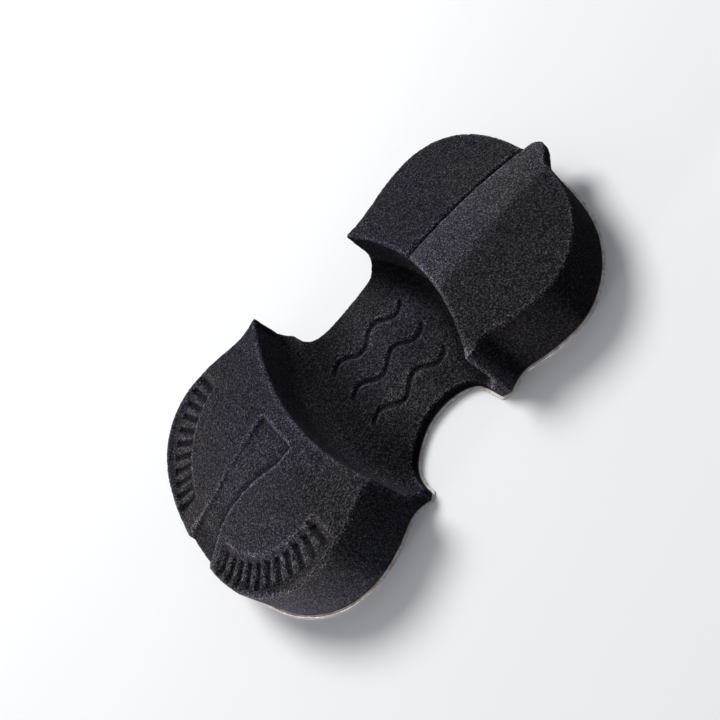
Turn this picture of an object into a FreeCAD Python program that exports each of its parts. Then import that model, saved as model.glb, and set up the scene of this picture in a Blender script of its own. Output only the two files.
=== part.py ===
import FreeCAD, Part
import math
import os
import Sketcher
from FreeCAD import Placement, Rotation, Vector

# Violin shoulder rest: one block of open-cell foam on a peel-and-stick cling backing.
# Frame: +Z out of the cling face, which lies on z = 0; +X along the long side, towards
# the lobe with the raised strip; +Y towards the neck of the violin.  Origin on the
# cling face, at the middle of the rest.

SIZES = [
    # alias, value in mm (or degrees, or a count)
    ("plan_scale_x", 1.0),        # stretches the die-cut outline along X
    ("plan_scale_y", 1.0),        # stretches the die-cut outline along Y
    ("cling_thickness", 0.6),     # tacky face that grips the varnish
    ("film_thickness", 0.2),      # carrier film
    ("glue_thickness", 0.2),      # adhesive between film and foam
    ("foam_thickness", 28.4),     # at the top of the raised strip
    ("blank_length", 192.0),      # foam blank before it is die-cut
    ("blank_width", 116.0),
    ("well_floor", 6.4),          # floor of the well above the cling face
    ("well_fillet", 8.0),         # wall runs into the floor
    ("rim_radius_right", 82.5),   # rim arcs, seen from above
    ("rim_radius_left", 111.0),
    ("rim_reach_right", 36.2),    # furthest point of each rim arc from x = 0
    ("rim_reach_left", 29.5),
    ("crown_radius", 190.0),      # lobes fall away to their outer ends
    ("crown_start", 30.0),        # distance from the middle where the fall begins
    ("left_lobe_drop", 0.8),      # left lobe lies lower than the raised strip
    ("step_depth", 1.8),          # neck side of the raised strip
    ("strip_skew", 2.8),          # degrees, strip edge against X
    ("strip_edge", 7.3),          # Y of the strip's neck-side edge at x = 30
    ("ridge_skew", 11.0),         # degrees, ridge against X
    ("ridge_edge", -17.2),        # Y of the ridge at x = 30
    ("ridge_fall", 5.5),          # degrees, slope from the ridge to the endpin side
    ("recess_depth", 2.6),        # wedge recess on the left lobe
    ("recess_tilt", 9.2),         # degrees, its floor follows the lobe
    ("grip_width", 2.2),          # radial grip grooves on the left lobe
    ("grip_length", 9.0),
    ("grip_depth", 1.6),
    ("grip_count", 11),           # in each of the two rows
    ("tongue_depth", 5.0),        # thickness of the strip's overhanging end
    ("wave_width", 2.0),          # shallow drain grooves in the well floor
    ("wave_depth", 1.4),
]

doc = FreeCAD.newDocument("shoulder_rest")
sheet = doc.addObject("Spreadsheet::Sheet", "dims")
for row, (alias, value) in enumerate(SIZES, start=1):
    sheet.set("A%d" % row, alias)
    sheet.set("B%d" % row, "%g" % value)
    sheet.setAlias("B%d" % row, alias)
doc.recompute()


def dim(alias):
    """A size read back from the sheet."""
    return float(getattr(sheet, alias))


# Heights of the foam's underside and top, as sheet expressions and as a number.
FOAM_BASE = "dims.cling_thickness + dims.film_thickness + dims.glue_thickness"
FOAM_TOP = FOAM_BASE + " + dims.foam_thickness"
TOP_Z = (dim("cling_thickness") + dim("film_thickness") + dim("glue_thickness")
         + dim("foam_thickness"))
LEFT_TOP_Z = TOP_Z - dim("left_lobe_drop")
HALF_LENGTH = dim("blank_length") / 2
HALF_WIDTH = dim("blank_width") / 2
CROWN_RADIUS = dim("crown_radius")
CROWN_START = dim("crown_start")

BLANK_EXTRA = 4.0            # added to the blank at its +X end
WELL_OVERRUN = 6.0           # well past each long side of the blank
RIM_CENTRE_Y_RIGHT = -0.4
RIM_CENTRE_Y_LEFT = -1.0
CROWN_NEAR_X = 5.0           # the crown cuts begin inside the well
CROWN_OVERRUN = 10.0         # and end past half the blank's length
CROWN_HEADROOM = 4.0         # above the foam
STEP_LENGTH = 80.0           # towards the neck
SLOPE_FOOT_Y = -85.0
SLOPE_HEADROOM = 6.0
SLOPE_AXIS_HALF = 60.0
SLOPE_TURN = 30.0            # degrees about the crown's axis
SLOPE_NEAR_LENGTH = 20.0     # from the start of the crown towards the rim
RECESS_X = -37.0             # where the recess floor has its stated depth
RECESS_CUT = 16.0            # upwards from the recess floor
GRIP_CUT = 12.0              # upwards from a groove's floor
WAVE_Y = (-12.0, 3.0, 18.0)
WAVE_START_X = -14.0
WAVE_SPAN = 36.0
WAVE_PITCH = 18.0
WAVE_SWING = 2.6             # to each side of the middle line
WAVE_STEPS = 16
DIE_CORNERS = (-125.0, -90.0, 130.0, 90.0)   # x, y, x, y around all of the waste
TONGUE_X = 91.0              # where the tongue's thickness is measured
TONGUE_CLEAR_X = 104.0       # outer end of the cut below the tongue
TONGUE_CLEAR_NECK = 6.0      # how far that cut widens towards each side
TONGUE_CLEAR_ENDPIN = 10.0
TONGUE_CUT = 40.0            # downwards

# Outline in plan, (x, y), counter-clockwise from the endpin side of the left lobe.
LEFT_NOSE = [(-16.2, -47.3), (-14.4, -45.6)]
ENDPIN_NOTCH = [
    (-14.4, -45.6), (-14.7, -40.0), (-13.4, -35.8), (-11.2, -32.8), (-8.0, -30.0),
    (-4.0, -27.4), (0.2, -25.7), (4.9, -24.9), (9.6, -25.1), (13.9, -26.1),
    (17.5, -27.8), (20.3, -30.3), (22.0, -34.2), (23.4, -40.2)]
RIGHT_NOSE = [(23.4, -40.2), (26.6, -41.6)]
RIGHT_LOBE_ENDPIN = [
    (26.6, -41.6), (29.5, -40.6), (33.3, -39.8), (40.7, -41.4), (52.0, -43.6),
    (60.0, -43.3), (66.2, -41.0), (72.5, -36.8), (77.7, -31.5), (82.3, -24.5),
    (85.5, -16.6), (87.6, -8.0), (88.4, -2.6)]
# The strip's end stands out past the lobe as a short tongue, in the foam only; the
# backing runs straight on below it, along the tongue's root.
TONGUE = [(88.4, -2.6), (90.8, 0.0), (93.0, 3.2), (93.9, 6.5), (92.7, 9.0), (90.0, 10.3),
          (88.1, 11.2)]
TONGUE_ROOT = [(88.4, -2.6), (88.9, 4.4), (88.1, 11.2)]
RIGHT_LOBE_NECK = [
    (88.1, 11.2), (87.3, 17.8), (85.6, 25.0), (83.2, 30.9), (80.0, 35.8),
    (76.0, 39.6), (71.4, 42.2), (66.3, 43.6), (60.5, 44.0), (50.5, 42.7),
    (41.4, 40.4), (33.5, 38.9), (25.9, 39.6)]
RIGHT_CUSP = [(25.9, 39.6), (22.6, 38.6)]
NECK_EDGE = [(22.6, 38.6), (19.4, 37.2), (12.0, 36.3), (3.0, 35.8), (-6.0, 36.2),
             (-11.0, 38.0), (-14.4, 41.6), (-16.0, 46.6)]
LEFT_CUSP = [(-16.0, 46.6), (-18.4, 47.8)]
LEFT_LOBE = [
    (-18.4, 47.8), (-22.6, 46.1), (-28.0, 45.4), (-35.0, 46.8), (-43.5, 49.1),
    (-53.0, 50.7), (-60.5, 50.9), (-67.9, 49.5), (-75.2, 45.9), (-82.0, 39.0),
    (-86.4, 29.0), (-88.6, 17.0), (-89.2, 4.0), (-88.2, -9.0), (-85.9, -20.6),
    (-82.0, -30.4), (-76.4, -39.2), (-69.8, -45.8), (-62.2, -50.6), (-53.2, -53.2),
    (-43.4, -53.2), (-36.4, -51.4), (-29.6, -48.6), (-24.5, -46.4), (-20.0, -46.4),
    (-16.2, -47.3)]

# Wedge recess in plan, (x, y): endpin side, outer end, neck side, end next to the rim.
RECESS = [
    [(-35.8, -11.0), (-42.0, -11.4), (-47.6, -9.3), (-55.0, -7.2), (-60.8, -6.2),
     (-67.6, -5.6), (-74.0, -6.4), (-81.0, -9.4), (-94.0, -14.5)],
    [(-94.0, -14.5), (-94.0, 6.4)],
    [(-94.0, 6.4), (-84.0, 6.0), (-74.3, 5.2), (-63.9, 5.8), (-54.2, 7.2), (-47.8, 7.9),
     (-42.7, 8.5), (-37.2, 9.2)],
    [(-37.2, 9.2), (-35.8, -11.0)]]

GRIP_ROWS = [
    # side, centre x, centre y, radius, first and last angle in degrees
    ("neck", -46.5, 8.0, 38.0, 94.0, 166.0),
    ("endpin", -46.0, -8.0, 37.3, 194.0, 272.0)]


# ---------------------------------------------------------------- sketches and cuts
def new_body(name):
    body = doc.addObject("PartDesign::Body", name)
    body.Label = name
    return body


def new_sketch(body, name, role, offset=None, height=None):
    """A sketch on an origin plane; height is a sheet expression for its offset."""
    plane = next(item for item in body.Origin.OriginFeatures if item.Role == role)
    sketch = body.newObject("Sketcher::SketchObject", name)
    sketch.AttachmentSupport = [(plane, "")]
    sketch.MapMode = "FlatFace"
    if offset is not None:
        sketch.AttachmentOffset = offset
    if height is not None:
        sketch.setExpression(".AttachmentOffset.Base.z", height)
    return sketch


def add_line(sketch, start, end, construction=False):
    return sketch.addGeometry(Part.LineSegment(Vector(*start), Vector(*end)), construction)


def add_arc(sketch, centre, radius, first, last):
    circle = Part.Circle(Vector(*centre), Vector(0, 0, 1), radius)
    return sketch.addGeometry(Part.ArcOfCircle(circle, first, last), False)


def join(sketch, joints):
    """Coincident ends; each joint is (geometry, end, geometry, end), end 1 or 2."""
    for joint in joints:
        sketch.addConstraint(Sketcher.Constraint("Coincident", *joint))


def bind_radius(sketch, arc, alias):
    index = sketch.addConstraint(Sketcher.Constraint("Radius", arc, dim(alias)))
    sketch.setExpression("Constraints[%d]" % index, "dims." + alias)


def add_chain(sketch, segments):
    """Closed chain of splines (three points or more) and lines, joined end to end."""
    parts = []
    for points in segments:
        if len(points) == 2:
            parts.append(add_line(sketch, *points))
        else:
            curve = Part.BSplineCurve()
            curve.interpolate([Vector(x, y, 0) for x, y in points])
            parts.append(sketch.addGeometry(curve, False))
    join(sketch, [(part, 2, after, 1) for part, after in zip(parts, parts[1:] + parts[:1])])


def add_polygon(sketch, corners):
    add_chain(sketch, list(zip(corners, corners[1:] + corners[:1])))


def add_rectangle(sketch, x0, y0, x1, y1):
    add_polygon(sketch, [(x0, y0), (x1, y0), (x1, y1), (x0, y1)])


def add_pad(body, name, sketch, length):
    pad = body.newObject("PartDesign::Pad", name)
    pad.Profile = sketch
    pad.setExpression("Length", length)


def current_volume(body):
    doc.recompute()
    return body.Shape.Volume


def add_cut(body, kind, name, sketch, **settings):
    """A pocket or groove that must remove material; text settings are expressions."""
    before = current_volume(body)
    cut = body.newObject("PartDesign::" + kind, name)
    cut.Profile = sketch
    for key, value in settings.items():
        if isinstance(value, str):
            cut.setExpression(key, value)
        else:
            setattr(cut, key, value)
    if not current_volume(body) < before - 1.0:
        raise RuntimeError("%s removed nothing" % name)
    return cut


def scaled(points):
    return [(x * dim("plan_scale_x"), y * dim("plan_scale_y")) for x, y in points]


def plan_outline(right_end):
    """The rest's outline, closed at the +X end by the given curve."""
    return [scaled(part) for part in (
        LEFT_NOSE, ENDPIN_NOTCH, RIGHT_NOSE, RIGHT_LOBE_ENDPIN, right_end,
        RIGHT_LOBE_NECK, RIGHT_CUSP, NECK_EDGE, LEFT_CUSP, LEFT_LOBE)]


def crown_fall(distance):
    """How far the crown has fallen at a distance from the middle."""
    return CROWN_RADIUS * (1 - math.cos(math.asin((distance - CROWN_START) / CROWN_RADIUS)))


# ---------------------------------------------------------------- backing
def make_backing_layer(name, thickness, height=None):
    """A die-cut layer of the backing: the foam's plan without the tongue."""
    body = new_body(name)
    sketch = new_sketch(body, name + "_outline", "XY_Plane", height=height)
    add_chain(sketch, plan_outline(TONGUE_ROOT))
    add_pad(body, name + "_sheet", sketch, thickness)
    return body


# ---------------------------------------------------------------- foam
def add_blank(foam):
    sketch = new_sketch(foam, "blank_plan", "XY_Plane", height=FOAM_BASE)
    add_rectangle(sketch, -HALF_LENGTH, -HALF_WIDTH, HALF_LENGTH + BLANK_EXTRA, HALF_WIDTH)
    add_pad(foam, "blank", sketch, "dims.foam_thickness")


def cut_well(foam):
    """The well between the lobes: a lens in plan that runs out through both long sides."""
    sketch = new_sketch(foam, "well_plan", "XY_Plane", height=FOAM_TOP)
    radius_right, radius_left = dim("rim_radius_right"), dim("rim_radius_left")
    right_x = dim("rim_reach_right") - radius_right
    left_x = radius_left - dim("rim_reach_left")
    reach = HALF_WIDTH + WELL_OVERRUN
    turn_right = math.asin(reach / radius_right)
    turn_left = math.asin(reach / radius_left)
    right_end_x = right_x + radius_right * math.cos(turn_right)
    left_end_x = left_x - radius_left * math.cos(turn_left)

    right_arc = add_arc(sketch, (right_x, RIM_CENTRE_Y_RIGHT), radius_right,
                        -turn_right, turn_right)
    left_arc = add_arc(sketch, (left_x, RIM_CENTRE_Y_LEFT), radius_left,
                       math.pi - turn_left, math.pi + turn_left)
    neck_end = add_line(sketch, (right_end_x, RIM_CENTRE_Y_RIGHT + reach),
                        (left_end_x, RIM_CENTRE_Y_LEFT + reach))
    endpin_end = add_line(sketch, (left_end_x, RIM_CENTRE_Y_LEFT - reach),
                          (right_end_x, RIM_CENTRE_Y_RIGHT - reach))
    join(sketch, [(right_arc, 2, neck_end, 1), (neck_end, 2, left_arc, 1),
                  (left_arc, 2, endpin_end, 1), (endpin_end, 2, right_arc, 1)])
    bind_radius(sketch, right_arc, "rim_radius_right")
    bind_radius(sketch, left_arc, "rim_radius_left")
    return add_cut(foam, "Pocket", "well", sketch, Length=FOAM_TOP + " - dims.well_floor")


def fillet_well(foam, well):
    """Round the two long curved edges where the well's walls meet its floor."""
    floor_z = dim("well_floor")
    edges = []
    for number, edge in enumerate(well.Shape.Edges, start=1):
        box = edge.BoundBox
        on_floor = abs(box.ZMin - floor_z) < 1e-4 and abs(box.ZMax - floor_z) < 1e-4
        if on_floor and box.YLength > dim("blank_width") * 0.8 and box.XLength > 3.0:
            edges.append("Edge%d" % number)
    if len(edges) != 2:
        raise RuntimeError("well floor edges: %r" % edges)
    fillet = foam.newObject("PartDesign::Fillet", "well_fillet")
    fillet.Base = (well, edges)
    fillet.setExpression("Radius", "dims.well_fillet")


def crown_sketch(foam, name, side, start_z):
    """Region above the crown line of one lobe; side is +1 for right, -1 for left."""
    sketch = new_sketch(foam, name, "XZ_Plane")
    near_x = side * CROWN_NEAR_X
    start_x = side * CROWN_START
    far = HALF_LENGTH + CROWN_OVERRUN
    far_x = side * far
    far_z = start_z - crown_fall(far)
    ceiling = TOP_Z + CROWN_HEADROOM
    sweep = math.asin((far - CROWN_START) / CROWN_RADIUS)
    upright = math.pi / 2
    if side > 0:
        angles = (upright - sweep, upright)
        inner_end, outer_end = 2, 1
    else:
        angles = (upright, upright + sweep)
        inner_end, outer_end = 1, 2

    flat = add_line(sketch, (near_x, start_z), (start_x, start_z))
    arc = add_arc(sketch, (start_x, start_z - CROWN_RADIUS), CROWN_RADIUS, *angles)
    outer = add_line(sketch, (far_x, far_z), (far_x, ceiling))
    roof = add_line(sketch, (far_x, ceiling), (near_x, ceiling))
    inner = add_line(sketch, (near_x, ceiling), (near_x, start_z))
    join(sketch, [(arc, outer_end, outer, 1), (outer, 2, roof, 1),
                  (roof, 2, inner, 1), (inner, 2, flat, 1)])
    sketch.addConstraint(Sketcher.Constraint("Tangent", flat, 2, arc, inner_end))
    bind_radius(sketch, arc, "crown_radius")
    return sketch


def cut_crowns(foam):
    """Both lobes fall away along X towards their outer ends."""
    through_all = 1
    for name, side, start_z in (("right_crown", 1, TOP_Z), ("left_crown", -1, LEFT_TOP_Z)):
        sketch = crown_sketch(foam, name + "_profile", side, start_z)
        add_cut(foam, "Pocket", name, sketch, Type=through_all, Midplane=True)


def cut_step(foam):
    """Right lobe: a step down on the neck side of the raised strip, along its edge."""
    sketch = crown_sketch(foam, "step_profile", 1, TOP_Z - dim("step_depth"))
    skew = dim("strip_skew")
    edge_y = dim("strip_edge") - CROWN_START * math.tan(math.radians(skew))   # at x = 0
    # the sketch's own z axis points to -Y
    sketch.AttachmentOffset = Placement(Vector(0, 0, -edge_y), Rotation(Vector(0, 1, 0), skew))
    sketch.setExpression(".AttachmentOffset.Rotation.Angle", "dims.strip_skew * 1deg")
    add_cut(foam, "Pocket", "neck_side_step", sketch, Length=STEP_LENGTH)


def ridge_sketch(foam, name):
    """Region above the endpin-side slope, in a plane square to the ridge."""
    ridge_y = dim("ridge_edge")
    turn = math.radians(dim("ridge_skew"))
    # the sketch turns about the vertical through (crown_start, ridge_edge)
    sketch = new_sketch(foam, name, "YZ_Plane", Placement(
        Vector(ridge_y - ridge_y * math.cos(turn), 0, CROWN_START + ridge_y * math.sin(turn)),
        Rotation(Vector(0, 1, 0), math.degrees(turn))))
    foot_z = TOP_Z - (ridge_y - SLOPE_FOOT_Y) * math.tan(math.radians(dim("ridge_fall")))
    ceiling = TOP_Z + SLOPE_HEADROOM
    add_polygon(sketch, [(ridge_y, TOP_Z), (SLOPE_FOOT_Y, foot_z),
                         (SLOPE_FOOT_Y, ceiling), (ridge_y, ceiling)])
    return sketch


def cut_endpin_slope(foam):
    """Right lobe: the top slopes down from the ridge to the endpin side.

    Past the start of the crown the slope turns about an axis at the height of the
    crown's centre; before it, the slope is a plane.
    """
    sketch = ridge_sketch(foam, "ridge_profile")
    axis_z = TOP_Z - CROWN_RADIUS
    add_line(sketch, (-SLOPE_AXIS_HALF, axis_z), (SLOPE_AXIS_HALF, axis_z), construction=True)
    add_cut(foam, "Groove", "endpin_side_slope", sketch,
            ReferenceAxis=(sketch, ["Axis0"]), Angle=SLOPE_TURN)
    near_rim = ridge_sketch(foam, "ridge_profile_near_rim")
    add_cut(foam, "Pocket", "endpin_side_slope_near_rim", near_rim, Length=SLOPE_NEAR_LENGTH)


def cut_tilted(foam, plan_name, name, origin_x, floor_z, tilt, outline, length):
    """Cut upwards from a floor through (origin_x, 0, floor_z) that falls towards -X.

    The outline is given in plan; it is stretched to suit the floor's tilt in degrees.
    """
    sketch = new_sketch(foam, plan_name, "XY_Plane", Placement(
        Vector(origin_x, 0, floor_z), Rotation(Vector(0, 1, 0), -tilt)))
    shrink = math.cos(math.radians(tilt))
    add_chain(sketch, [[((x - origin_x) / shrink, y) for x, y in part] for part in outline])
    add_cut(foam, "Pocket", name, sketch, Reversed=True, Length=length)


def cut_recess(foam):
    """Left lobe: widest next to the rim, it narrows, then opens again where it runs out
    through the lobe's outer edge."""
    cut_tilted(foam, "recess_plan", "wedge_recess", RECESS_X,
               LEFT_TOP_Z - dim("recess_depth"), dim("recess_tilt"), RECESS, RECESS_CUT)


def cut_grips(foam):
    """Left lobe: two rows of short radial grooves, each sunk square to the surface."""
    count = int(dim("grip_count"))
    half_length, half_width = dim("grip_length") / 2, dim("grip_width") / 2
    for side, centre_x, centre_y, radius, first, last in GRIP_ROWS:
        for k in range(count):
            turn = math.radians(first + (last - first) * k / (count - 1))
            along_x, along_y = math.cos(turn), math.sin(turn)
            x, y = centre_x + radius * along_x, centre_y + radius * along_y
            distance = max(-x, CROWN_START)
            lean = math.asin((distance - CROWN_START) / CROWN_RADIUS)
            corners = [(x + a * half_length * along_x - b * half_width * along_y,
                        y + a * half_length * along_y + b * half_width * along_x)
                       for a, b in ((-1, -1), (1, -1), (1, 1), (-1, 1))]
            name = "grip_%s_%d" % (side, k + 1)
            cut_tilted(foam, name + "_plan", name, x,
                       LEFT_TOP_Z - crown_fall(distance) - dim("grip_depth"),
                       math.degrees(lean), list(zip(corners, corners[1:] + corners[:1])),
                       GRIP_CUT)


def cut_waves(foam):
    """Three shallow wavy grooves across the floor of the well."""
    half_width = dim("wave_width") / 2
    stations = [WAVE_START_X + WAVE_SPAN * i / WAVE_STEPS for i in range(WAVE_STEPS + 1)]
    for k, wave_y in enumerate(WAVE_Y, start=1):
        sketch = new_sketch(foam, "wave_%d_plan" % k, "XY_Plane", height="dims.well_floor")
        middle = [
            (x, wave_y + WAVE_SWING * math.sin(2 * math.pi * (x - WAVE_START_X) / WAVE_PITCH))
            for x in stations]
        endpin_side = [(x, y - half_width) for x, y in middle]
        neck_side = [(x, y + half_width) for x, y in reversed(middle)]
        add_chain(sketch, [endpin_side, [endpin_side[-1], neck_side[0]],
                           neck_side, [neck_side[-1], endpin_side[0]]])
        add_cut(foam, "Pocket", "wave_%d" % k, sketch, Length="dims.wave_depth")


def die_cut(foam):
    """Everything outside the outline goes."""
    sketch = new_sketch(foam, "die_cut_outline", "XY_Plane", height=FOAM_TOP + " + 1")
    add_rectangle(sketch, *DIE_CORNERS)
    add_chain(sketch, plan_outline(TONGUE))
    add_cut(foam, "Pocket", "die_cut", sketch, Length=FOAM_TOP + " + 2")


def cut_under_tongue(foam):
    """Under the tongue the outer wall follows the lobe."""
    underside = TOP_Z - crown_fall(TONGUE_X) - dim("tongue_depth")
    sketch = new_sketch(foam, "under_tongue_plan", "XY_Plane",
                        Placement(Vector(0, 0, underside), Rotation()))
    root = scaled(TONGUE_ROOT)
    neck_corner = (TONGUE_CLEAR_X, root[-1][1] + TONGUE_CLEAR_NECK)
    endpin_corner = (TONGUE_CLEAR_X, root[0][1] - TONGUE_CLEAR_ENDPIN)
    add_chain(sketch, [root, [root[-1], neck_corner], [neck_corner, endpin_corner],
                       [endpin_corner, root[0]]])
    add_cut(foam, "Pocket", "under_tongue", sketch, Length=TONGUE_CUT)


def make_foam():
    foam = new_body("foam_body")
    add_blank(foam)
    well = cut_well(foam)
    fillet_well(foam, well)
    cut_crowns(foam)
    cut_step(foam)
    cut_endpin_slope(foam)
    cut_recess(foam)
    cut_grips(foam)
    cut_waves(foam)
    die_cut(foam)
    cut_under_tongue(foam)
    return foam


# ---------------------------------------------------------------- build and export
cling = make_backing_layer("cling_layer", "dims.cling_thickness")
film = make_backing_layer("carrier_film", "dims.film_thickness", "dims.cling_thickness")
glue = make_backing_layer("bonding_adhesive", "dims.glue_thickness",
                          "dims.cling_thickness + dims.film_thickness")
bodies = (make_foam(), glue, film, cling)

doc.recompute()
for item in doc.Objects:
    if any(word in ("Invalid", "Error") for word in item.State):
        raise RuntimeError("%s is %s" % (item.Name, item.State))
for body in bodies:
    shape = body.Shape
    if shape.isNull() or not shape.isValid() or len(shape.Solids) != 1:
        raise RuntimeError("%s: bad shape, %d solids" % (body.Label, len(shape.Solids)))
os.makedirs("parts", exist_ok=True)
for body in bodies:
    body.Shape.exportStep("parts/%s.step" % body.Label)
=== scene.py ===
"""Charcoal foam pad on an off-white cling sheet, lying flat with +Z up.

Two raised lobes, left (-X) and right (+X), stand either side of a low grooved well. A tongue
hangs over the outer wall at the +X end. Below the foam come the adhesive, the carrier film and,
from z = 0, the cling sheet. Shapes are worked out in millimetres and stored in metres.
"""
import bpy
import bmesh
import math
import numpy as np
from mathutils import Matrix, Vector


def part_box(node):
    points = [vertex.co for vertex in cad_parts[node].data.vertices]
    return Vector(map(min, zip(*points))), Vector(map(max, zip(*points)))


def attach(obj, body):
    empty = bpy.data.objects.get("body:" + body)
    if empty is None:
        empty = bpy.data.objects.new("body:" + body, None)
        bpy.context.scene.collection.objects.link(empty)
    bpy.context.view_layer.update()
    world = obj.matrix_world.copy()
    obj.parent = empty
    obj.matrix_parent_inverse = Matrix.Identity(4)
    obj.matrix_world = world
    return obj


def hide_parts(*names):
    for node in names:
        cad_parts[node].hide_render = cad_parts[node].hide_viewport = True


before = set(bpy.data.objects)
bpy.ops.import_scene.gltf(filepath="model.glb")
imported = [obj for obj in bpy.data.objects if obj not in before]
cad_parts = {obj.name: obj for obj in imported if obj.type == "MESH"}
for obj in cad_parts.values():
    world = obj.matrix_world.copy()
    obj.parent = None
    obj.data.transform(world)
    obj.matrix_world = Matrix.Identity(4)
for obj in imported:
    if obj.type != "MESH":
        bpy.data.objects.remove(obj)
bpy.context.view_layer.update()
scene = bpy.context.scene
MM = 0.001
PER_METRE = 1000.0


# ------------------------------------------------------------------ shared tools
def smooth(start, end, value):
    """Eased step from 0 at start to 1 at end; start may be the larger."""
    t = np.clip((value - start) / (end - start), 0.0, 1.0)
    return t * t * (3 - 2 * t)


def tan_deg(degrees):
    return math.tan(math.radians(degrees))


def join_round(a, b, radius):
    """Union of two distance fields with a filleted joint."""
    u, v = np.maximum(radius - a, 0), np.maximum(radius - b, 0)
    return np.maximum(radius, np.minimum(a, b)) - np.sqrt(u * u + v * v)


def meet_round(a, b, radius):
    """Intersection of two distance fields with a rounded edge."""
    u, v = np.maximum(radius + a, 0), np.maximum(radius + b, 0)
    return np.minimum(-radius, np.maximum(a, b)) + np.sqrt(u * u + v * v)


def from_segment(x, y, start, end):
    """Offsets in x and y from the nearest point of a segment."""
    along_x, along_y = end[0] - start[0], end[1] - start[1]
    from_x, from_y = x - start[0], y - start[1]
    length_sq = max(along_x * along_x + along_y * along_y, 1e-12)
    t = np.clip((from_x * along_x + from_y * along_y) / length_sq, 0, 1)
    return from_x - along_x * t, from_y - along_y * t


def polygon_distance(x, y, polygon):
    """Signed distance to a closed polygon, negative inside."""
    nearest_sq = np.full(x.shape, 1e9)
    inside = np.zeros(x.shape, bool)
    for i, (ax, ay) in enumerate(polygon):
        bx, by = polygon[(i + 1) % len(polygon)]
        dx, dy = from_segment(x, y, (ax, ay), (bx, by))
        nearest_sq = np.minimum(nearest_sq, dx * dx + dy * dy)
        if ay != by:
            crosses = ((ay > y) != (by > y)) & (x < (bx - ax) * (y - ay) / (by - ay) + ax)
            inside ^= crosses
    distance = np.sqrt(nearest_sq)
    return np.where(inside, -distance, distance)


def chain_distance(x, y, points):
    """Distance to an open chain of segments."""
    nearest = np.full(len(x), 1e9)
    for start, end in zip(points[:-1], points[1:]):
        nearest = np.minimum(nearest, np.hypot(*from_segment(x, y, start, end)))
    return nearest


CORNERS = [(i, j, k) for i in (0, 1) for j in (0, 1) for k in (0, 1)]


def corner_weights(t):
    """Each corner of a cell with its trilinear weight at fractions t."""
    for corner in CORNERS:
        wx, wy, wz = (t[:, axis] if far else 1 - t[:, axis] for axis, far in enumerate(corner))
        yield corner, wx * wy * wz


def lattice_noise(points, cell, seed):
    """Smooth value noise, -1 to 1, from a seeded lattice with cells of the given size in mm."""
    table = np.random.RandomState(seed).uniform(-1, 1, 4096)
    place = points / cell + 137.0
    i = np.floor(place).astype(np.int64)
    t = place - i
    t = t * t * (3 - 2 * t)
    total = 0
    for (a, b, c), weight in corner_weights(t):
        mixed = (i[:, 0] + a) * 73856093 ^ (i[:, 1] + b) * 19349663 ^ (i[:, 2] + c) * 83492791
        total = total + weight * table[mixed % 4096]
    return total


def link_object(name, data):
    made = bpy.data.objects.new(name, data)
    scene.collection.objects.link(made)
    return made


def add_piece(name, mesh, cad_node):
    """A visual mesh that stands in for one CAD piece."""
    piece = link_object(name, mesh)
    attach(piece, "root")
    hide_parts(cad_node)
    return piece


# ------------------------------------------------------------------ plan outlines, mm
def outline_loop(node):
    """Closed outline of the underside of a flat CAD layer, counter-clockwise."""
    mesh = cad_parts[node].data
    corners = np.array([v.co for v in mesh.vertices], float) * PER_METRE
    low = corners[:, 2].min()
    ids, merged, points = {}, [], []
    for point in corners:
        key = tuple(round(c, 3) for c in point)
        if key not in ids:
            ids[key] = len(points)
            points.append(point)
        merged.append(ids[key])
    uses = {}
    for face in mesh.polygons:
        around = [merged[i] for i in face.vertices]
        if all(abs(points[i][2] - low) < 1e-3 for i in around):
            for a, b in zip(around, around[1:] + around[:1]):
                if a != b:
                    edge = (min(a, b), max(a, b))
                    uses[edge] = uses.get(edge, 0) + 1
    neighbours = {}
    for (a, b), count in uses.items():
        if count == 1:
            neighbours.setdefault(a, []).append(b)
            neighbours.setdefault(b, []).append(a)
    start = min(neighbours)
    loop, previous, current = [start], None, start
    while True:
        following = [n for n in neighbours[current] if n != previous][0]
        if following == start:
            break
        loop.append(following)
        previous, current = current, following
    plan = np.array([points[i][:2] for i in loop])
    x, y = plan[:, 0], plan[:, 1]
    area = 0.5 * np.sum(x * np.roll(y, -1) - np.roll(x, -1) * y)
    return plan if area > 0 else plan[::-1]


OUTLINE = outline_loop("cling_layer")

# (x, y) of the tongue at the +X end
TONGUE = [
    (82.0, -6.0), (88.4, -2.6), (89.6, -1.4), (90.8, 0.0), (92.0, 1.6), (93.0, 3.2), (93.7, 5.0),
    (93.9, 6.5), (93.6, 7.9), (92.7, 9.0), (91.4, 9.7), (90.0, 10.3), (88.1, 11.2), (82.0, 13.0)]

# (x, y) of the wedge recess in the left lobe: -Y side, then +Y side
RECESS_LOW_Y = [
    (-35.8, -11.0), (-42.0, -11.4), (-47.6, -9.3), (-55.0, -7.2), (-60.8, -6.2),
    (-67.6, -5.6), (-74.0, -6.4), (-81.0, -9.4), (-96.0, -14.5)]
RECESS_HIGH_Y = [
    (-84.0, 6.0), (-74.3, 5.2), (-63.9, 5.8), (-54.2, 7.2), (-47.8, 7.9), (-42.7, 8.5),
    (-37.2, 9.2)]
RECESS = RECESS_LOW_Y + [(-96.0, 6.4)] + RECESS_HIGH_Y

# ------------------------------------------------------------------ foam dimensions, mm and degrees
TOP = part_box("foam_body")[1].z * PER_METRE
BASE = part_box("foam_body")[0].z * PER_METRE

CROWN_START = 30.0           # distance from x = 0 where the tops begin to fall away
CROWN_RADIUS = 190.0

# arcs that bound the well: centre x, centre y, radius
RIGHT_WALL = (-46.3, -0.4, 82.5)
LEFT_WALL = (80.5, -1.0, 110.0)

# right lobe: two lines cross its top, given by y at CUT_X and their angle
CUT_X = 30.0
NECK_Y, NECK_ANGLE = 7.3, 2.8
STEP_Y, STEP_ANGLE = -17.2, 11.0
STRIP_FALL = tan_deg(5.5)

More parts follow.
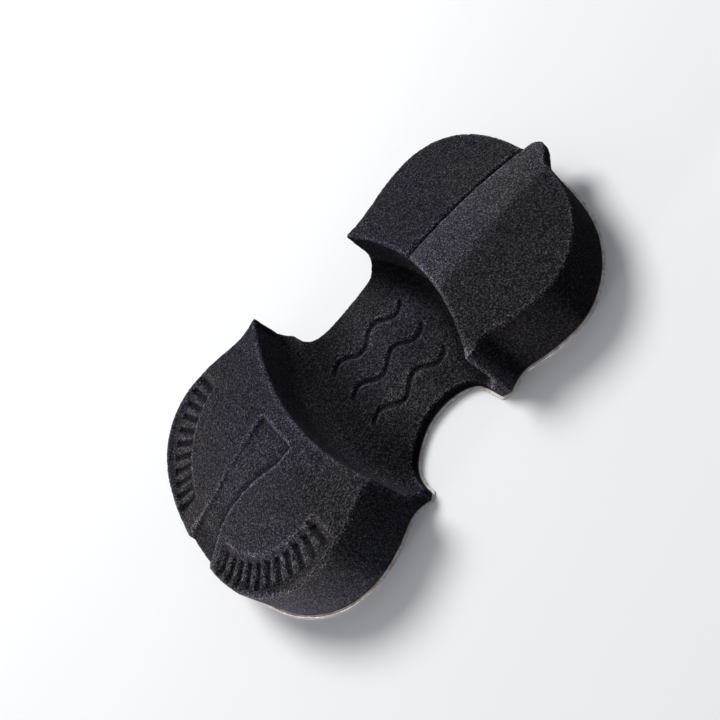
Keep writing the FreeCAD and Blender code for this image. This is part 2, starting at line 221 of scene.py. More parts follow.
# grip rows on the left lobe: centre x, centre y, radius, first and last angle
GRIP_ROWS = [(-46.5, 8.0, 38.0, 94.0, 166.0), (-46.0, -8.0, 37.3, 194.0, 272.0)]
GRIP_COUNT = 11
LEFT_DROP = 0.8              # the left lobe is lower than the right
LEDGE_WIDTH, SCALLOP, LEDGE_DEPTH = 6.6, 0.8, 1.0
GROOVE_SHIFT, GROOVE_HALF_LENGTH, GROOVE_HALF_WIDTH, GROOVE_DEPTH = 0.9, 4.6, 1.15, 1.3

# wavy grooves across the well floor
FLOOR_HEIGHT = 6.4
WAVE_LINES = (-12.0, 3.0, 18.0)
WAVE_SWING, WAVE_LENGTH, WAVE_SHIFT, WAVE_DEPTH = 2.6, 18.0, 14.0, 1.4

LOBE_ROUND = 1.1             # edge between a lobe top and its well wall
FLOOR_FILLET = 8.0           # hollow between the well floor and the walls
OUTER_ROUND = 0.95           # edge round the outer wall
TONGUE_ROUND, TONGUE_FILLET = 0.6, 1.0
TONGUE_X, TONGUE_THICKNESS = 91.0, 5.0

CELL = 0.61      # sampling step
MARGIN = 4                                  # empty cells round the foam
GRID_REACH = 95.0                           # the grid must clear the tongue


# ------------------------------------------------------------------ foam heights
def crown(x):
    """How far a top has fallen at x, on a circular arc."""
    past = np.maximum(x - CROWN_START, 0)
    return CROWN_RADIUS - np.sqrt(CROWN_RADIUS * CROWN_RADIUS - past * past)


def wall_gap(x, y, wall):
    """Distance inside a wall's arc; positive on the well side."""
    centre_x, centre_y, radius = wall
    return radius - np.hypot(x - centre_x, y - centre_y)


def right_cuts(x, y):
    """Distance past the neck line towards +Y, and past the step line towards -Y."""
    past_neck = y - (NECK_Y + (x - CUT_X) * tan_deg(NECK_ANGLE))
    past_step = (STEP_Y + (x - CUT_X) * tan_deg(STEP_ANGLE)) - y
    return past_neck, past_step


def right_lobe_top(x, y):
    base = TOP - crown(x)
    past_neck, past_step = right_cuts(x, y)
    # beyond the step line the strip slopes down; the root eases the bend
    fall = STRIP_FALL * 0.5 * (past_step + np.sqrt(past_step * past_step + 6.0))
    dip = 1.25 * (1 - smooth(0.0, 8.5, -past_neck))
    strip = base - fall + STRIP_FALL * 0.2 - dip
    neck = base - 1.8 - 0.35 * (1 - smooth(0.0, 3.0, past_neck))
    side = smooth(-0.35, 0.35, past_neck)
    z = strip * (1 - side) + neck * side
    # narrow groove along the neck line, deeper towards +X
    return z - (1.15 + 0.010 * (x - CUT_X)) * np.exp(-(past_neck / 0.75) ** 2)


def grip_step(first, last):
    return (last - first) / (GRIP_COUNT - 1)


def grip_band(x, y, row):
    """Distance from a row's centre, its angular window and its scalloped inner edge."""
    centre_x, centre_y, radius, first, last = row
    from_x, from_y = x - centre_x, y - centre_y
    reach = np.sqrt(from_x * from_x + from_y * from_y)
    angle = np.degrees(np.arctan2(from_y, from_x)) % 360.0
    step = grip_step(first, last)
    window = smooth(first - step * 0.75, first - step * 0.45, angle) * \
        (1 - smooth(last + step * 0.45, last + step * 0.75, angle))
    phase = (angle - first) / step
    inner_edge = radius - LEDGE_WIDTH - SCALLOP * np.abs(np.cos(math.pi * phase))
    return reach, window, inner_edge


def recess_cut(x, y):
    """Depth of the wedge recess, deeper on its -Y side and at both ends."""
    across = np.clip((8.0 - y) / 17.0, 0, 1)
    near = smooth(-54.0, -37.0, x)
    out_end = smooth(-74.0, -88.0, x)
    depth = 0.42 + 2.4 * across + 1.2 * near * (1 - across) + \
        1.6 * out_end * (1 - 0.4 * across)
    soft_edge = 0.45 + 1.1 * smooth(0.0, 6.0, y) * (1 - near) * (1 - out_end)
    return depth * (1 - smooth(-soft_edge, 0.25, polygon_distance(x, y, RECESS)))


def left_lobe_top(x, y, inset):
    """Top of the left lobe; inset is the distance in from the outline."""
    z = TOP - LEFT_DROP - crown(-x)
    z = z - recess_cut(x, y)
    for row in GRIP_ROWS:
        centre_x, centre_y, radius, first, last = row
        reach, window, inner_edge = grip_band(x, y, row)
        ledge = smooth(inner_edge - 0.35, inner_edge + 0.45, reach) * window
        z -= LEDGE_DEPTH * ledge * smooth(0.8, 3.6, inset)
        from_x, from_y = x - centre_x, y - centre_y
        for k in range(GRIP_COUNT):
            turn = math.radians(first + grip_step(first, last) * k)
            out_x, out_y = math.cos(turn), math.sin(turn)
            along = from_x * out_x + from_y * out_y - radius + GROOVE_SHIFT
            across = -from_x * out_y + from_y * out_x
            outside = np.maximum(np.abs(along) - GROOVE_HALF_LENGTH,
                                 np.abs(across) - GROOVE_HALF_WIDTH)
            groove = 1 - smooth(-0.55, 0.45, outside)
            z -= GROOVE_DEPTH * groove * smooth(0.2, 1.6, inset)
    return z


def well_floor(x, y):
    z = FLOOR_HEIGHT - 1.5 * smooth(-12.0, -27.0, y) + 0.5 * smooth(22.0, 36.0, y)
    turn = 2 * math.pi * (x + WAVE_SHIFT) / WAVE_LENGTH
    slope = np.abs(WAVE_SWING * 2 * math.pi / WAVE_LENGTH * np.cos(turn))
    ends = smooth(-15.0, -13.4, x) * (1 - smooth(21.4, 23.0, x))
    for line in WAVE_LINES:
        middle = line + WAVE_SWING * np.sin(turn)
        off = np.abs(y - middle) / np.sqrt(1 + slope ** 2)
        z = z - WAVE_DEPTH * (1 - smooth(0.45, 1.45, off)) * ends
    return z


def body_field(xs, ys, zs):
    """Distance-like field of the foam on a grid, negative inside and open downwards."""
    x, y = np.meshgrid(xs, ys, indexing="ij")
    z = zs[None, None, :]

    def column(plan):
        return plan[:, :, None]

    outside = polygon_distance(x, y, OUTLINE)
    right = meet_round(z - column(right_lobe_top(x, y)),
                       column(wall_gap(x, y, RIGHT_WALL)), LOBE_ROUND)
    left = meet_round(z - column(left_lobe_top(x, y, -outside)),
                      column(wall_gap(x, y, LEFT_WALL)), LOBE_ROUND)
    heights = join_round(np.minimum(right, left), z - column(well_floor(x, y)), FLOOR_FILLET)
    # the tongue hangs over the outer wall; its underside is cut square
    underside = TOP - crown(TONGUE_X) - TONGUE_THICKNESS
    tongue = meet_round(column(polygon_distance(x, y, TONGUE)), underside - z, TONGUE_ROUND)
    plan = join_round(column(outside), tongue, TONGUE_FILLET)
    return meet_round(heights, plan, OUTER_ROUND)


# ------------------------------------------------------------------ volume to mesh
def blur(volume, reach):
    """Box blur, reach cells each way, along the three axes."""
    for axis in range(3):
        pads = [(reach + 1, reach) if i == axis else (0, 0) for i in range(3)]
        running = np.cumsum(np.pad(volume, pads, mode="edge"), axis=axis)
        size, span = volume.shape[axis], 2 * reach + 1
        high = np.take(running, np.arange(span, span + size), axis=axis)
        low = np.take(running, np.arange(0, size), axis=axis)
        volume = (high - low) / span
    return volume


def sample(volume, points, origin):
    """Trilinear sample of a volume at points in mm."""
    place = (points - origin) / CELL
    i = np.clip(np.floor(place).astype(int), 0, np.array(volume.shape) - 2)
    total = 0
    for (a, b, c), weight in corner_weights(place - i):
        total = total + weight * volume[i[:, 0] + a, i[:, 1] + b, i[:, 2] + c]
    return total


def surface_nets(volume, origin):
    """Vertices (mm) and outward quads of the zero level of a volume that is negative inside."""
    inside = volume < 0
    shape = tuple(size - 1 for size in volume.shape)
    count = np.zeros(shape, np.int8)
    crossing_sum = np.zeros(shape + (3,), np.float32)

    def at_corner(array, corner):
        return array[tuple(slice(c, c + size) for c, size in zip(corner, shape))]

    def add_crossings(start, end):
        hit = np.nonzero(at_corner(inside, start) != at_corner(inside, end))
        first, second = at_corner(volume, start)[hit], at_corner(volume, end)[hit]
        t = first / (first - second)
        crossing_sum[hit] += np.array(start) + t[:, None] * (np.array(end) - np.array(start))
        count[hit] += 1

    for start in CORNERS:
        for axis in range(3):
            if start[axis] == 0:
                end = list(start)
                end[axis] = 1
                add_crossings(start, tuple(end))
    cells = np.nonzero(count)
    number = np.full(shape, -1, np.int64)
    number[cells] = np.arange(len(cells[0]))
    mean = crossing_sum[cells] / count[cells][:, None]
    verts = (np.stack(cells, 1) + mean) * CELL + origin

    quads = []
    for axis in range(3):
        here, beyond = [slice(1, -1)] * 3, [slice(1, -1)] * 3
        here[axis], beyond[axis] = slice(0, volume.shape[axis] - 1), slice(1, volume.shape[axis])
        near, far = inside[tuple(here)], inside[tuple(beyond)]
        hit = np.nonzero(near != far)
        going_out = near[hit]
        u, v = (axis + 1) % 3, (axis + 2) % 3
        corners = []
        for step_u, step_v in ((0, 0), (1, 0), (1, 1), (0, 1)):
            index = list(hit)
            index[u] = hit[u] + step_u
            index[v] = hit[v] + step_v
            corners.append(number[tuple(index)])
        quad = np.stack(corners, 1)
        quad[~going_out] = quad[~going_out][:, ::-1]
        quads.append(quad)
    return verts, np.concatenate(quads)


def pair_keys(quads, i, j):
    """One number for each quad's pair of corners i and j, whatever their order."""
    low, high = np.minimum(quads[:, i], quads[:, j]), np.maximum(quads[:, i], quads[:, j])
    return low.astype(np.int64) * (int(quads.max()) + 1) + high


def side_keys(quads):
    return np.concatenate([pair_keys(quads, i, (i + 1) % 4) for i in range(4)])


def count_bad_edges(quads):
    """How many edges are not shared by exactly two faces."""
    return int(np.sum(np.unique(side_keys(quads), return_counts=True)[1] != 2))


def split_clashing(quads):
    """Where a quad's diagonal meets another face's edge or diagonal, cut it the other way."""
    diagonals = [pair_keys(quads, 0, 2), pair_keys(quads, 1, 3)]
    edges = np.unique(side_keys(quads))
    values, counts = np.unique(np.concatenate(diagonals), return_counts=True)
    clash = [np.isin(d, values[counts > 1]) | np.isin(d, edges) for d in diagonals]
    faces = []
    for q, first, second in zip(quads.tolist(), clash[0], clash[1]):
        if first and not second:
            faces += [[q[0], q[1], q[3]], [q[1], q[2], q[3]]]
        elif second and not first:
            faces += [[q[0], q[1], q[2]], [q[0], q[2], q[3]]]
        else:
            faces.append(q)
    return faces


def sample_foam(shift):
    """Bad edge count, field, grid origin, vertices and quads on a grid moved by shift."""
    pad = MARGIN * CELL
    x_max = max(OUTLINE[:, 0].max(), GRID_REACH) + pad
    y_max = OUTLINE[:, 1].max() + pad
    xs = np.arange(OUTLINE[:, 0].min() - pad - shift, x_max + CELL, CELL)
    ys = np.arange(OUTLINE[:, 1].min() - pad - shift, y_max + CELL, CELL)
    # the small lift keeps grid levels off the flat heights
    zs = np.arange(BASE - pad, TOP + pad, CELL) + 0.021 + shift
    origin = np.array([xs[0], ys[0], zs[0]])
    field = body_field(xs, ys, zs)
    verts, quads = surface_nets(np.maximum(field, BASE - zs[None, None, :]), origin)
    return count_bad_edges(quads), field, origin, verts, quads


def cleanest_foam():
    """The first grid shift that gives a closed surface, or else the one nearest to it."""
    best = None
    for attempt in range(6):
        result = sample_foam(attempt * 0.137 * CELL)
        if best is None or result[0] < best[0]:
            best = result
        if best[0] == 0:
            break
    return best[1:]


# ------------------------------------------------------------------ foam surface
def roughen(verts, normals):
    """Push the vertices along their normals by the foam's grain."""
    rng = np.random.RandomState(11)
    grain = 0.07 * lattice_noise(verts, cell=0.95, seed=1) + \
        0.075 * rng.uniform(-1, 1, len(verts)) + \
        0.04 * lattice_noise(verts, cell=2.3, seed=2) + \
        0.10 * lattice_noise(verts, cell=11.0, seed=3)
    # scattered pits where a cell lies open at the surface
    grain -= 0.16 * smooth(0.42, 0.8, lattice_noise(verts, cell=1.25, seed=4))
    # the foot stays flat
    free = smooth(BASE + 0.15, BASE + 1.2, verts[:, 2])
    moved = verts + normals * (grain * free)[:, None]
    moved[:, 2] = np.maximum(moved[:, 2], BASE)
    return moved


def shade(amount, *masks):
    """Painted light and shade factor: 1 plus the amount where all masks are 1."""
    return 1 + amount * math.prod(masks)


def right_top_painted_light(x, y, up):
    past_neck, past_step = right_cuts(x, y)
    strip = smooth(0.4, -1.2, past_neck)
    # painted light: the strip is painted paler than the neck, where it faces the light more, and
    # painted shade again beyond the step line
    change = -0.14 + strip * (0.60 - 0.74 * smooth(-3.0, 2.6, past_step))
    return 1.0 + smooth(24.0, 34.0, x) * up * change


def wall_and_well_painted_light(x, y, up, steep, facing):
    """Painted light and shade on the side walls and the well; facing marks faces turned towards -Y.
    """
    right_gap, left_gap = wall_gap(x, y, RIGHT_WALL), wall_gap(x, y, LEFT_WALL)
    well = smooth(-0.4, 0.8, right_gap) * smooth(-0.4, 0.8, left_gap)
    outer_wall = steep * facing * (1 - well)
    nose = smooth(-36.0, -39.5, y) * (x > 0)
    return math.prod([
        # outer -Y walls: painted shade round the right lobe, painted light under the left, where
        # the low light reaches
        shade(-0.32, outer_wall, smooth(28.0, 38.0, x)),
        shade(0.40, outer_wall, smooth(-28.0, -38.0, x)),
        shade(0.35, outer_wall, smooth(-52.0, -34.0, x), smooth(-14.0, -20.0, x)),
        # painted shade where the floor runs up into the right wall
        shade(-0.78, smooth(0.3, 1.2, right_gap), smooth(15.0, 4.5, right_gap),
              smooth(4.0, 12.0, x), smooth(-41.0, -33.0, y)),
        # painted shade on the right half of the well, +Y end
        shade(-0.18, well, smooth(12.0, 28.0, y), smooth(6.0, 18.0, x)),
        # painted shadow at the foot of the left wall, then a wider band of painted shade further in
        shade(-0.52, well, smooth(1.0, 7.5, left_gap), smooth(22.0, 9.0, left_gap),
              x < 0, smooth(-42.0, -34.0, y)),
        shade(-0.34, well, smooth(8.0, 13.0, left_gap), smooth(30.0, 18.0, left_gap)),
        # painted shade over the whole floor, then over its right half away from the +Y end
        shade(-0.13, well, up),
        shade(-0.24, well, smooth(5.0, 14.0, x), smooth(-32.0, -24.0, y),
              smooth(12.0, 2.0, y)),
        # painted shade along the -Y edge left of the middle
        shade(-0.12, smooth(-34.0, -40.0, y), smooth(-26.0, -21.0, x), x < 0),
        # -Y nose of the right lobe: painted highlight where the rounded edge catches light, then
        # painted shade on the steep side beyond
        shade(1.35, nose, smooth(17.0, 21.0, x), smooth(32.5, 27.0, x)),
        shade(-0.24, nose, steep, smooth(28.5, 32.0, x), smooth(40.0, 34.0, x)),
        # painted shade on the low wall of the notch, always in the dark
        shade(-0.50, steep, facing, np.abs(x) < 20.0, smooth(-39.0, -34.0, y)),
    ])


def left_top_painted_light(x, y, up, top_face, points):
    recess = polygon_distance(x, y, RECESS)
    low_side = chain_distance(x, y, RECESS_LOW_Y)
    high_side = chain_distance(x, y, RECESS_HIGH_Y)
    painted_light = math.prod([
        # painted shade over the whole lobe, then over its -Y part near the well
        shade(-0.07, smooth(-26.0, -34.0, x), up),
        shade(-0.15, up, smooth(-16.0, -28.0, y), smooth(-54.0, -42.0, x), x < 0),
        # painted shade on the recess floor along its -Y side and at its -X end
        shade(-0.52, recess < 0.0, 1 - smooth(2.0, 5.0, low_side), top_face),
        shade(-0.30, smooth(0.0, -1.2, recess), smooth(-79.0, -83.0, x), top_face),
        # painted highlight on the rim outside the -Y side
        shade(0.22, recess > 0.0, 1 - smooth(0.8, 2.6, low_side), top_face),
        # painted light on the rest of the recess floor towards the well, painted shade towards its
        # outer end
        1 + smooth(0.0, -0.8, recess) * (0.20 - 0.26 * smooth(-60.0, -72.0, x)) * top_face,
        # painted shade on the top beyond the recess towards +Y
        shade(-0.08, smooth(0.0, 1.0, recess), smooth(8.0, 14.0, y), top_face),
    ])
    for row in GRIP_ROWS:
        reach, window, inner_edge = grip_band(x, y, row)
        past_edge = reach - inner_edge
        # painted highlight along the ledge's inner edge, broken up by noise; painted shade on the
        # ledge floor beyond it
        lip = smooth(-1.5, -0.6, past_edge) * smooth(0.9, 0.3, past_edge)
        lip_highlight = 0.62 * smooth(-0.9, 0.7, lattice_noise(points, cell=5.0, seed=9))
        change = lip_highlight * lip - 0.16 * smooth(0.3, 1.0, past_edge)
        painted_light *= 1 + window * top_face * change
    # +Y side of the recess: painted highlight on the rim outside, painted shade line inside
    painted_light *= shade(0.36, recess > -0.3, 1 - smooth(0.4, 1.3, high_side), top_face)
    painted_light *= shade(-0.14, recess < -0.3, 1 - smooth(0.6, 1.8, high_side), top_face)
    return painted_light


def surface_painted_light(verts, normals):
    """Painted light and shade factor of the foam at each vertex."""
    x, y = verts[:, 0], verts[:, 1]
    up = smooth(0.55, 0.9, normals[:, 2])
    steep = smooth(0.75, 0.35, normals[:, 2])
    facing = smooth(-0.15, -0.5, normals[:, 1])
    left_face = (x < -30) * (normals[:, 2] > 0.3)
    return right_top_painted_light(x, y, up) * wall_and_well_painted_light(x, y, up, steep, facing) * \
        left_top_painted_light(x, y, up, left_face, verts)


def refill_base(bm):
    """Swap the many flat faces at the foot for one flat-shaded fill facing down."""
    low = (BASE + 1e-3) * MM
    flat = [f for f in bm.faces if all(v.co.z < low for v in f.verts)]
    bmesh.ops.delete(bm, geom=flat, context="FACES")
    bmesh.ops.delete(bm, geom=[v for v in bm.verts if not v.link_faces], context="VERTS")
    rim = [e for e in bm.edges if e.is_boundary]
    made = bmesh.ops.triangle_fill(bm, use_beauty=True, use_dissolve=False, edges=rim,
                                   normal=(0, 0, -1))
    bm.normal_update()
    for face in bm.faces:
        face.smooth = True
    for face in made["geom"]:
        if isinstance(face, bmesh.types.BMFace):
            face.smooth = False
            if face.normal.z > 0:
                face.normal_flip()


def build_foam():
    field, origin, verts, quads = cleanest_foam()

    # curvature over about three and eight millimetres, positive on edges, negative in hollows
    def curvature(half_width, least, full_scale):
        reach = max(least, int(round(half_width / CELL)))
        return sample(blur(field, reach) - field, verts, origin) / full_scale

    edge = curvature(half_width=1.5, least=1, full_scale=0.35)
    deep = curvature(half_width=4.0, least=2, full_scale=1.2)
    slopes = np.gradient(field, CELL)
    normals = np.stack([sample(slope, verts, origin) for slope in slopes], 1)
    normals /= np.maximum(np.linalg.norm(normals, axis=1), 1e-6)[:, None]
    # painted light and shade for every vertex, read by the foam material
    painted_light = surface_painted_light(verts, normals)

    mesh = bpy.data.meshes.new("foam_pad")
    points = roughen(verts, normals)
    mesh.from_pydata((points * MM).tolist(), [], split_clashing(quads))
    bm = bmesh.new()
    bm.from_mesh(mesh)
    names = ("edge", "painted_light", "deep")
    for name in names:
        bm.verts.layers.float.new(name)
    layers = [bm.verts.layers.float[name] for name in names]
    for vert, values in zip(bm.verts, zip(edge, painted_light, deep)):
        for layer, value in zip(layers, values):
            vert[layer] = float(value)
    refill_base(bm)
    bm.to_mesh(mesh)
    bm.free()
    return add_piece("foam_pad", mesh, "foam_body")


foam = build_foam()


# ------------------------------------------------------------------ cling sheet with a torn edge
RING_STEP = 0.45


def resample(loop, step):
    """Points evenly spaced along a closed loop."""
    closed = np.vstack([loop, loop[:1]])
    lengths = np.hypot(*np.diff(closed, axis=0).T)
    travelled = np.concatenate([[0], np.cumsum(lengths)])
    count = int(round(travelled[-1] / step))
    stops = np.arange(count) * travelled[-1] / count
    return np.stack([np.interp(stops, travelled, closed[:, k]) for k in (0, 1)], 1)


def build_cling():
    ring = resample(OUTLINE, RING_STEP)
    count = len(ring)
    tangent = np.roll(ring, -2, 0) - np.roll(ring, 2, 0)
    tangent /= np.linalg.norm(tangent, axis=1)[:, None]
    outward = np.stack([tangent[:, 1], -tangent[:, 0]], 1)
    rng = np.random.RandomState(29)

    def ragged(seed, fine, coarse):
        place = np.stack([ring[:, 0], ring[:, 1], np.full(count, seed * 3.7)], 1)
        return fine * rng.uniform(-1, 1, count) + \
            coarse * lattice_noise(place, 1.7, seed) + coarse * lattice_noise(place, 6.0, seed + 1)

    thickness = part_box("cling_layer")[1].z * PER_METRE
    # height, mean overhang past the outline, noise seed
    levels = [(0.0, 0.50, 41), (0.16, 0.86, 43), (0.42, 0.95, 45), (thickness, 0.66, 47)]
    rings = []
    for z, overhang, seed in levels:
        off = np.maximum(overhang + ragged(seed, fine=0.09, coarse=0.13), 0.02)
        rings.append(np.column_stack([ring + outward * off[:, None], np.full(count, z)]))
    faces = []
    for level in range(len(levels) - 1):
        low, high = level * count, (level + 1) * count
        for i in range(count):
            j = (i + 1) % count
            faces.append((low + i, low + j, high + j, high + i))
    mesh = bpy.data.meshes.new("cling_sheet")
    mesh.from_pydata((np.vstack(rings) * MM).tolist(), [], faces)

    bm = bmesh.new()
    bm.from_mesh(mesh)
    rim = [e for e in bm.edges if e.is_boundary]
    top_start = (len(levels) - 1) * count
    bottom = [e for e in rim if all(v.index < count for v in e.verts)]
    top = [e for e in rim if all(v.index >= top_start for v in e.verts)]
    for edges, facing in ((bottom, -1), (top, 1)):
        bmesh.ops.triangle_fill(bm, use_beauty=True, use_dissolve=False, edges=edges,
                                normal=(0, 0, facing))
    bmesh.ops.recalc_face_normals(bm, faces=bm.faces)
    bm.to_mesh(mesh)
    bm.free()
    return add_piece("cling_sheet", mesh, "cling_layer")


cling = build_cling()


# ------------------------------------------------------------------ materials
class Shader:
    """A Principled material and short calls that add nodes to it."""

    def __init__(self, name):
        self.material = bpy.data.materials.new(name)
        self.material.use_nodes = True
        self.tree = self.material.node_tree
        self.tree.nodes.clear()
        self.output = self.add("OutputMaterial")
        self.bsdf = self.add("BsdfPrincipled")
        self.put(self.output.inputs["Surface"], self.bsdf.outputs[0])
        self.coord = self.add("TexCoord").outputs["Object"]

    def add(self, kind):
        return self.tree.nodes.new("ShaderNode" + kind)

    def put(self, socket, value):
        if isinstance(value, bpy.types.NodeSocket):
            self.tree.links.new(value, socket)
        else:
            socket.default_value = value

    def set(self, name, value):
        self.put(self.bsdf.inputs[name], value)

    def math(self, operation, a, b):
        node = self.add("Math")
        node.operation = operation
        self.put(node.inputs[0], a)
        self.put(node.inputs[1], b)
        return node.outputs[0]

    def plus(self, a, b):
        return self.math("ADD", a, b)

    def times(self, a, b):
        return self.math("MULTIPLY", a, b)

    def noise(self, scale, detail, rough):
        node = self.add("TexNoise")
        self.put(node.inputs["Vector"], self.coord)
        node.inputs["Scale"].default_value = scale
        node.inputs["Detail"].default_value = detail
        node.inputs["Roughness"].default_value = rough
        return node.outputs["Fac"]

    def voronoi(self, scale):
        node = self.add("TexVoronoi")
        self.put(node.inputs["Vector"], self.coord)
        node.inputs["Scale"].default_value = scale
        return node.outputs["Distance"]

    def ramp(self, value, start, end, low=0.0, high=1.0, kind="SMOOTHSTEP"):
        node = self.add("MapRange")
        node.interpolation_type = kind
        self.put(node.inputs["Value"], value)
        node.inputs["From Min"].default_value = start
        node.inputs["From Max"].default_value = end
        node.inputs["To Min"].default_value = low
        node.inputs["To Max"].default_value = high
        return node.outputs[0]

    def mix(self, factor, a, b):
        node = self.add("Mix")
        node.data_type = "RGBA"
        self.put(node.inputs[0], factor)
        self.put(node.inputs[6], a)
        self.put(node.inputs[7], b)
        return node.outputs[2]

    def attribute(self, name):
        node = self.add("Attribute")
        node.attribute_name = name
        return node.outputs["Fac"]

    def scale(self, colour, factor):
        node = self.add("VectorMath")
        node.operation = "SCALE"
        self.put(node.inputs[0], colour)
        self.put(node.inputs["Scale"], factor)
        return node.outputs[0]

    def bump(self, height, strength, distance):
        node = self.add("Bump")
        node.inputs["Strength"].default_value = strength
        node.inputs["Distance"].default_value = distance
        self.put(node.inputs["Height"], height)
        self.set("Normal", node.outputs[0])


def foam_material():
    m = Shader("charcoal_foam")
    cells = m.voronoi(scale=1850.0)
    fine = m.voronoi(scale=3300.0)
    pore = m.ramp(cells, 0.10, 0.62)
    strand = m.ramp(fine, 0.10, 0.70)
    cloud = m.noise(scale=1500.0, detail=2.0, rough=0.6)
    glint = m.ramp(m.noise(scale=2300.0, detail=1.0, rough=0.5), 0.62, 0.74)
    patch = m.ramp(m.noise(scale=55.0, detail=3.0, rough=0.55), 0.3, 0.7,
                   low=0.90, high=1.10, kind="LINEAR")
    # open cells and strands, broken up by cloud, with sparse painted glints where strands catch the
    # light
    grain = m.plus(m.times(pore, 0.80), m.times(strand, 0.35))
    grain = m.times(grain, m.ramp(cloud, 0.36, 0.64, low=0.05, high=1.9, kind="LINEAR"))
    grain = m.plus(m.math("POWER", grain, 2.0), m.times(glint, 5.2))
    level = m.times(m.plus(grain, 0.05), patch)
    level = m.times(level, 0.53)
    # painted light and shade from the vertices
    level = m.times(level, m.attribute("painted_light"))
    # painted highlight on edges, painted shade in hollows
    edge = m.attribute("edge")
    deep = m.attribute("deep")
    level = m.times(level, m.plus(1.0, m.times(m.ramp(edge, 0.1, 0.8), 1.05)))
    level = m.times(level, m.ramp(edge, -0.9, -0.05, low=0.55, high=1.0))
    level = m.times(level, m.ramp(deep, -0.9, 0.0, low=0.80, high=1.0))
    # bluish to warmer charcoal in broad patches, greyer at the painted glints
    tint = m.mix(m.ramp(m.noise(scale=24.0, detail=2.0, rough=0.5), 0.40, 0.60),
                 (0.0332, 0.0315, 0.0462, 1), (0.0375, 0.0345, 0.0418, 1))
    tint = m.mix(m.ramp(glint, 0.0, 1.0, low=0.0, high=0.6), tint, (0.050, 0.050, 0.056, 1))
    m.set("Base Color", m.scale(tint, level))
    m.set("Roughness", m.ramp(pore, 0.0, 1.0, low=1.0, high=0.82))
    # specular and sheen are scaled by the painted shade as well
    m.set("Specular IOR Level", m.times(m.attribute("painted_light"), 0.10))
    m.set("Sheen Weight", m.times(m.attribute("painted_light"), 0.05))
    m.set("Sheen Roughness", 0.6)
    m.set("Sheen Tint", (0.80, 0.78, 0.90, 1))
    height = m.plus(m.times(cells, 0.7), m.times(fine, 0.35))
    height = m.plus(height, m.times(cloud, 0.5))
    m.bump(height, strength=0.75, distance=0.00035)
    return m.material


def cling_material():
    m = Shader("cling_offwhite")
    mottle = m.noise(scale=420.0, detail=3.0, rough=0.6)
    speck = m.noise(scale=1800.0, detail=2.0, rough=0.6)
    colour = m.mix(m.ramp(mottle, 0.35, 0.62), (0.62, 0.52, 0.47, 1), (0.90, 0.86, 0.83, 1))
    colour = m.mix(m.ramp(speck, 0.60, 0.72), colour, (0.30, 0.25, 0.24, 1))
    m.set("Base Color", colour)
    m.set("Roughness", m.ramp(speck, 0.3, 0.7, low=0.30, high=0.60))
    m.set("Subsurface Weight", 0.15)
    m.set("Subsurface Scale", 0.0006)
    m.bump(mottle, strength=0.5, distance=0.0002)
    return m.material


def mottled_material(name, scale, dark, light, roughness, bump):
    """Two colours, a roughness range and a bump, all driven by one noise."""
    m = Shader(name)
    mottle = m.noise(scale=scale, detail=3.0, rough=0.6)
    m.set("Base Color", m.mix(m.ramp(mottle, 0.35, 0.65), dark, light))
    m.set("Roughness", m.ramp(mottle, 0.3, 0.7, *roughness))
    m.bump(mottle, strength=bump, distance=0.0001)
    return m.material


def assign(piece, material):
    slots = piece.data.materials
    if len(slots) == 0:
        slots.append(material)
    for i in range(len(slots)):
        slots[i] = material


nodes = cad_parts
assign(foam, foam_material())
assign(cling, cling_material())
assign(nodes["cling_layer"], cling.data.materials[0])
assign(nodes["foam_body"], foam.data.materials[0])
assign(nodes["carrier_film"], mottled_material(
    "carrier_film_grey", scale=700.0, dark=(0.05, 0.045, 0.045, 1),
    light=(0.16, 0.145, 0.14, 1), roughness=(0.25, 0.45), bump=0.3))
assign(nodes["bonding_adhesive"], mottled_material(
    "bonding_adhesive_amber", scale=900.0, dark=(0.030, 0.024, 0.022, 1),
    light=(0.075, 0.062, 0.055, 1), roughness=(0.35, 0.60), bump=0.5))

# ------------------------------------------------------------------ stage, light, camera, metres
BACKDROP = (0.93, 0.93, 0.93, 1)


def floor_material():
    m = Shader("pale_floor")
    m.set("Base Color", (0.88, 0.88, 0.88, 1))
    m.set("Roughness", 0.9)
    m.set("Specular IOR Level", 0.1)
    # far from the object the floor runs into the plain backdrop with no horizon
    reach = m.add("VectorMath")
    reach.operation = "LENGTH"
    m.put(reach.inputs[0], m.coord)
    glow = m.add("Emission")
    glow.inputs[0].default_value = BACKDROP
    blend = m.add("MixShader")
    m.put(blend.inputs[0], m.ramp(reach.outputs["Value"], 0.22, 0.85))
    m.put(blend.inputs[1], m.bsdf.outputs[0])
    m.put(blend.inputs[2], glow.outputs[0])
    m.put(m.output.inputs["Surface"], blend.outputs[0])
    return m.material


def build_floor():
    half = 8
    corners = [(-half, -half, 0), (half, -half, 0), (half, half, 0), (-half, half, 0)]
    mesh = bpy.data.meshes.new("floor")
    mesh.from_pydata(corners, [], [(0, 1, 2, 3)])
    floor = link_object("floor", mesh)
    floor.location.z = -0.0001      # just clear of the cling sheet
    mesh.materials.append(floor_material())
    floor.visible_diffuse = False
    floor.visible_glossy = False


def area_light(name, direction, distance, size, power, colour):
    """Disk light placed along a direction from the origin and aimed back at it."""
    unit = np.array(direction, float)
    unit /= np.linalg.norm(unit)
    data = bpy.data.lights.new(name, "AREA")
    data.shape = "DISK"
    data.size = size
    data.energy = power
    data.color = colour
    light = bpy.data.objects.new(name, data)
    light.location = unit * distance
    light.rotation_euler = Vector(unit).to_track_quat("Z", "Y").to_euler()
    scene.collection.objects.link(light)


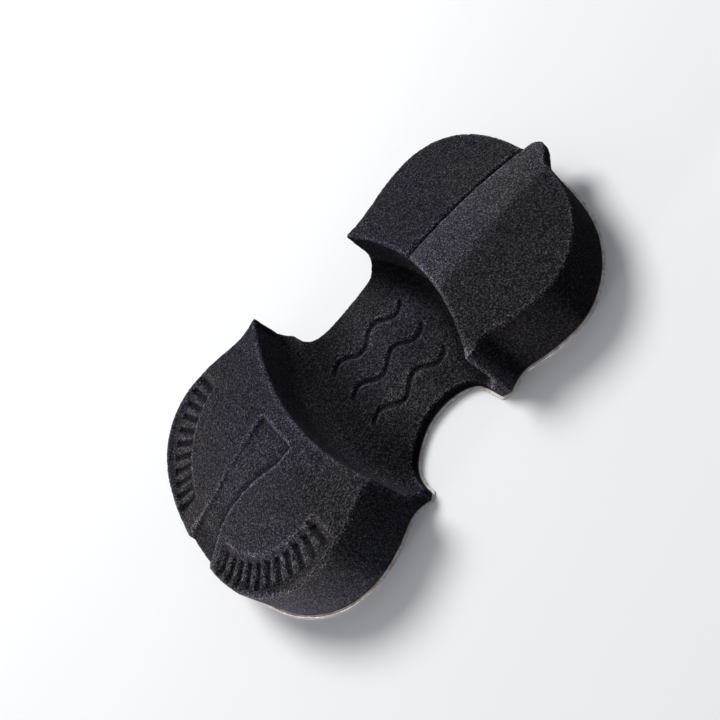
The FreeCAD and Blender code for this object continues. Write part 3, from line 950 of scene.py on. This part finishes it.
def build_world():
    """Plain backdrop for the camera; a cool sky, brighter towards one side, for the light."""
    world = bpy.data.worlds.new("studio")
    scene.world = world
    world.use_nodes = True
    tree = world.node_tree
    tree.nodes.clear()

    def add(kind):
        return tree.nodes.new("ShaderNode" + kind)

    output = add("OutputWorld")
    backdrop = add("Background")
    backdrop.inputs[0].default_value = BACKDROP
    sky = add("Background")
    sky.inputs[0].default_value = (0.84, 0.89, 1.0, 1)
    path = add("LightPath")
    mixer = add("MixShader")
    coord = add("TexCoord")
    towards = add("VectorMath")
    towards.operation = "DOT_PRODUCT"
    towards.inputs[1].default_value = (-0.35, 0.25, 0.85)     # brightest direction
    strength = add("MapRange")
    strength.interpolation_type = "SMOOTHSTEP"
    strength.inputs["From Min"].default_value = -0.4
    strength.inputs["From Max"].default_value = 1.0
    strength.inputs["To Min"].default_value = 0.12
    strength.inputs["To Max"].default_value = 0.32
    for source, target in (
            (coord.outputs["Generated"], towards.inputs[0]),
            (towards.outputs["Value"], strength.inputs["Value"]),
            (strength.outputs[0], sky.inputs[1]),
            (path.outputs["Is Camera Ray"], mixer.inputs[0]),
            (sky.outputs[0], mixer.inputs[1]),
            (backdrop.outputs[0], mixer.inputs[2]),
            (mixer.outputs[0], output.inputs[0])):
        tree.links.new(source, target)


def build_camera():
    right = (0.6543305851, -0.4535467064, -0.6051007111)
    up = (0.7425628799, 0.5366873226, 0.4007082321)
    backward = (0.1430099816, -0.7115209786, 0.6879578782)
    pose = Matrix((right, up, backward)).transposed().to_4x4()
    pose.translation = (0.04862542, -0.24707031, 0.26755057)
    data = bpy.data.cameras.new("camera")
    camera = bpy.data.objects.new("camera", data)
    camera.matrix_world = pose
    data.sensor_fit = "HORIZONTAL"
    data.sensor_width = 36.0
    data.lens = 52.2239815
    data.shift_x = 0.0242601083
    data.shift_y = -0.0129377764
    data.clip_start = 0.01
    data.clip_end = 50.0
    scene.collection.objects.link(camera)
    scene.camera = camera


build_floor()
area_light("key", direction=(-0.06, 0.58, 0.80), distance=1.3, size=0.60, power=15.0,
           colour=(1.0, 0.99, 0.985))
area_light("top_soft", direction=(-0.05, 0.05, 1.0), distance=1.3, size=0.9, power=2.0,
           colour=(0.96, 0.98, 1.0))
area_light("low_left", direction=(-0.98, -0.21, 0.005), distance=0.9, size=0.12, power=17.0,
           colour=(1.0, 0.955, 0.93))
build_world()
build_camera()
scene.view_settings.view_transform = "Standard"
scene.view_settings.look = "None"
